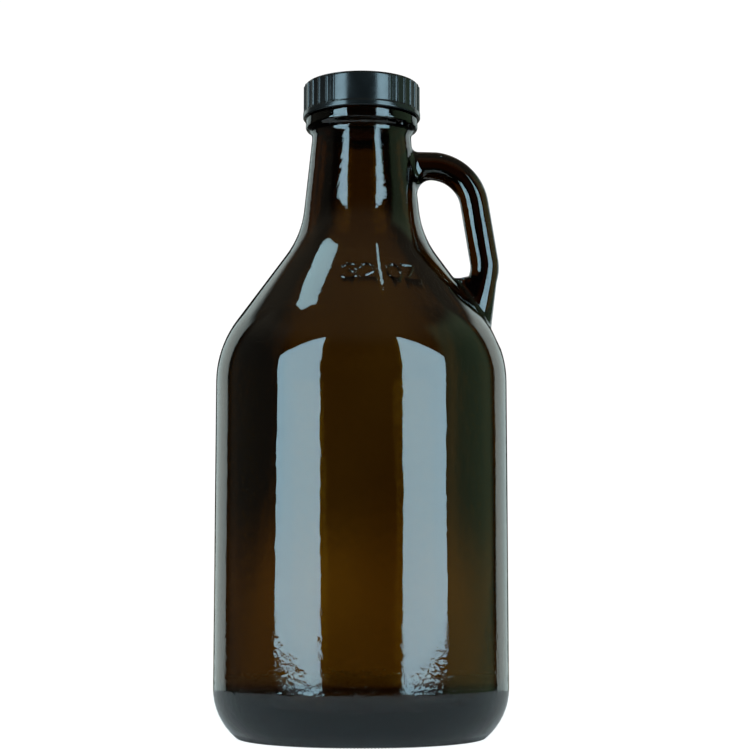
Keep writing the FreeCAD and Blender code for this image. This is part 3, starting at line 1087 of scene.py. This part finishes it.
def add_world():
    """White where the camera looks past the jug. Lit by a dim studio with a few soft fill lights."""
    world = bpy.data.worlds.new("studio")
    bpy.context.scene.world = world
    world.use_nodes = True
    nodes, links = world.node_tree.nodes, world.node_tree.links
    nodes.clear()
    where = nodes.new("ShaderNodeTexCoord")
    split = nodes.new("ShaderNodeSeparateXYZ")
    links.new(where.outputs["Generated"], split.inputs["Vector"])

    def maths(operation, a, b=0.0):
        node = nodes.new("ShaderNodeMath")
        node.operation = operation
        for socket, value in zip(node.inputs, (a, b)):
            if isinstance(value, (int, float)):
                socket.default_value = value
            else:
                links.new(value, socket)
        return node.outputs["Value"]

    def window(angle, middle, half, soft):
        """1 within half of the middle, falling to 0 over soft further out."""
        off = maths("ABSOLUTE", maths("SUBTRACT", angle, middle))
        node = nodes.new("ShaderNodeMapRange")
        node.interpolation_type = "SMOOTHSTEP"
        node.inputs["From Min"].default_value = half + soft
        node.inputs["From Max"].default_value = half
        links.new(off, node.inputs["Value"])
        return node.outputs["Result"]

    x, y, z = (split.outputs[axis] for axis in "XYZ")
    flat = maths("SQRT", maths("ADD", maths("MULTIPLY", x, x), maths("MULTIPLY", y, y)))
    azimuth = maths("MULTIPLY", maths("ARCTAN2", x, y), 180 / math.pi)
    elevation = maths("MULTIPLY", maths("ARCTAN2", z, flat), 180 / math.pi)
    total = nodes.new("ShaderNodeCombineXYZ")
    for socket, value in zip(total.inputs, ROOM):
        socket.default_value = value
    light = total.outputs["Vector"]
    above = nodes.new("ShaderNodeMapRange")
    above.interpolation_type = "SMOOTHSTEP"
    above.inputs["From Min"].default_value = CEILING_SINES[0]
    above.inputs["From Max"].default_value = CEILING_SINES[1]
    links.new(z, above.inputs["Value"])
    shares = [(ROOM_ABOVE, above.outputs["Result"])]
    for colour, across, up in FILLS:
        share = maths("MULTIPLY", window(azimuth, *across), window(elevation, *up))
        shares.append((colour, share))
    for colour, share in shares:
        scaled = nodes.new("ShaderNodeVectorMath")
        scaled.operation = "SCALE"
        scaled.inputs[0].default_value = colour
        links.new(share, scaled.inputs["Scale"])
        added = nodes.new("ShaderNodeVectorMath")
        added.operation = "ADD"
        links.new(light, added.inputs[0])
        links.new(scaled.outputs["Vector"], added.inputs[1])
        light = added.outputs["Vector"]
    lit = nodes.new("ShaderNodeBackground")
    links.new(light, lit.inputs["Color"])
    white = nodes.new("ShaderNodeBackground")
    white.inputs["Color"].default_value = (1, 1, 1, 1)
    white.inputs["Strength"].default_value = BACKDROP_WHITE
    path = nodes.new("ShaderNodeLightPath")
    mix = nodes.new("ShaderNodeMixShader")
    links.new(path.outputs["Is Camera Ray"], mix.inputs["Fac"])
    links.new(lit.outputs["Background"], mix.inputs[1])
    links.new(white.outputs["Background"], mix.inputs[2])
    out = nodes.new("ShaderNodeOutputWorld")
    links.new(mix.outputs["Shader"], out.inputs["Surface"])


def glowing_card(name, corners, radiance, tint):
    """A flat studio light, which the camera itself doesn't see."""
    bm = bmesh.new()
    bm.faces.new([bm.verts.new(corner) for corner in corners])
    mesh = bpy.data.meshes.new(name)
    bm.to_mesh(mesh)
    bm.free()
    material, nodes, links, shader = new_material(name)
    nodes.remove(shader)
    glow = nodes.new("ShaderNodeEmission")
    glow.inputs["Color"].default_value = (*tint, 1)
    glow.inputs["Strength"].default_value = radiance
    links.new(glow.outputs["Emission"], nodes["Material Output"].inputs["Surface"])
    mesh.materials.append(material)
    card = bpy.data.objects.new(name, mesh)
    card.visible_camera = False
    bpy.context.scene.collection.objects.link(card)


def add_lights():
    """The two softboxes in front and the two cards overhead."""
    for name, side in (("left_softbox", -1), ("right_softbox", 1)):
        corners = []
        for (azimuth, low, high), upward in ((SOFTBOX_INNER_EDGE, True), (SOFTBOX_OUTER_EDGE, False)):
            angle = math.radians(side * azimuth)
            x, y = SOFTBOX_DISTANCE * math.sin(angle), -SOFTBOX_DISTANCE * math.cos(angle)
            pair = [(x, y, low), (x, y, high)]
            corners += pair if upward else pair[::-1]
        glowing_card(name, corners, SOFTBOX_RADIANCE, SOFTBOX_TINT)
    for name, (x0, y0), (x1, y1) in OVERHEAD:
        corners = [(x, y, OVERHEAD_Z) for x, y in ((x0, y0), (x1, y0), (x1, y1), (x0, y1))]
        glowing_card(name, corners, OVERHEAD_RADIANCE, OVERHEAD_TINT)


def add_camera():
    """A long lens in front of the jug, a little above its base, that looks slightly up."""
    camera = bpy.data.objects.new("camera", bpy.data.cameras.new("camera"))
    camera.data.lens = CAMERA_LENS
    camera.data.sensor_width = SENSOR_W
    camera.data.clip_start = CAMERA_CLIP
    camera.location = CAMERA_AT
    camera.rotation_euler = (math.radians(90 + CAMERA_UP), 0, math.radians(-CAMERA_RIGHT))
    bpy.context.scene.collection.objects.link(camera)
    bpy.context.scene.camera = camera


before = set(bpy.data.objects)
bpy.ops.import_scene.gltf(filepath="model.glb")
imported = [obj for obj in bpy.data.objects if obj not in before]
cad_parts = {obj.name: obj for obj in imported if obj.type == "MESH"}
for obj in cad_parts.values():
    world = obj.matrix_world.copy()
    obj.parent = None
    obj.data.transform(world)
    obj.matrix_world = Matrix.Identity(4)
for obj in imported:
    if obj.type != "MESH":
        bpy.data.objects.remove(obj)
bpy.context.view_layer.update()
add_camera()
add_floor()
add_world()
add_lights()

jug = make_jug(amber_glass())
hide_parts("glass_jug")
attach(jug, "jug")

cap = make_cap(black_plastic())
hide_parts("screw_cap")
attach(cap, "cap")

liner = make_liner(white_polyethylene())
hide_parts("cone_liner")
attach(liner, "liner")

scene = bpy.context.scene
scene.view_settings.view_transform = "Standard"
